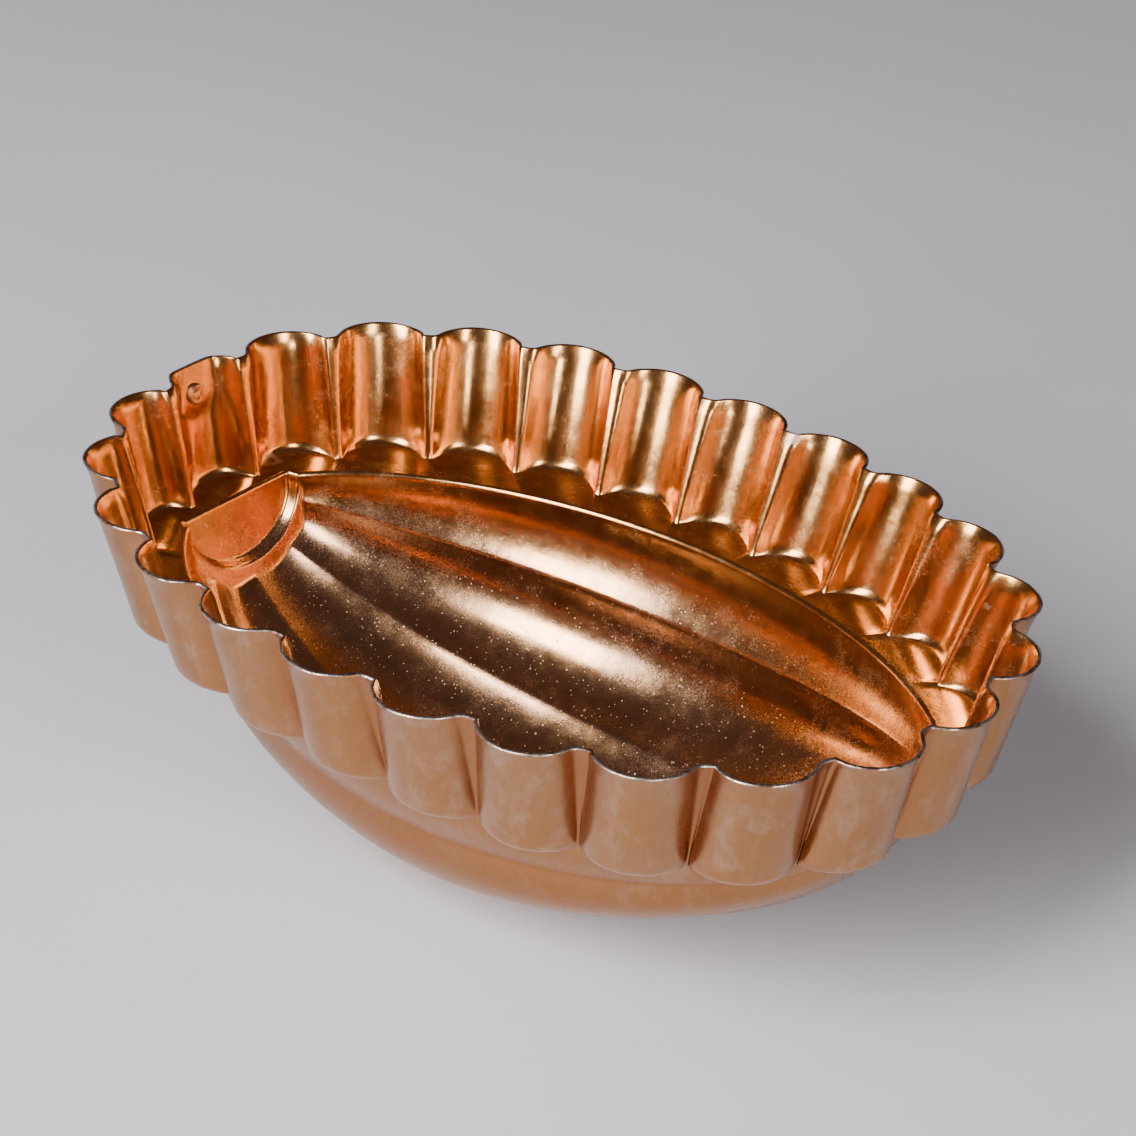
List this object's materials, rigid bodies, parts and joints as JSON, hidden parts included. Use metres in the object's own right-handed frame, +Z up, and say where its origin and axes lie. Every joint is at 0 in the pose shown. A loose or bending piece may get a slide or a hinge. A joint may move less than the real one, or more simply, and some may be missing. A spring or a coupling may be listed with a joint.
{
  "type": "melon mould baking pan",
  "caption": "Oval fluted baking and jelly mould with a ribbed half-melon bowl under a flat ledge, copper-coloured sheet aluminium, with a riveted hanging ring.",
  "frame": {"origin": "centre of the bounding box in X and Y, on the surface that the bowl's lowest lobes stand on", "axes": "+Z up out of the mould's opening, +X along the long axis away from the hanging ring, +Y across it"},
  "size_m": [0.2338, 0.167, 0.0832],
  "materials": {
    "pan_sheet": "copper-coloured lacquer over aluminium, polished inside and brushed satin outside",
    "strap_sheet": "satin copper-coloured",
    "rivet_metal": "polished copper-coloured",
    "ring_wire": "darkened wire"
  },
  "bodies": {
    "pan": {"pan_shell": "pan_sheet", "hanger_strap": "strap_sheet", "rivet": "rivet_metal"},
    "ring": {"hanging_ring": "ring_wire"}
  },
  "joints": [
    {"name": "ring_swing", "type": "hinge", "parent": "pan", "child": "ring", "pos_m": [-0.11444, 0, 0.07087], "axis": [0, 1, 0], "range_deg": [-10, 205]}
  ]
}
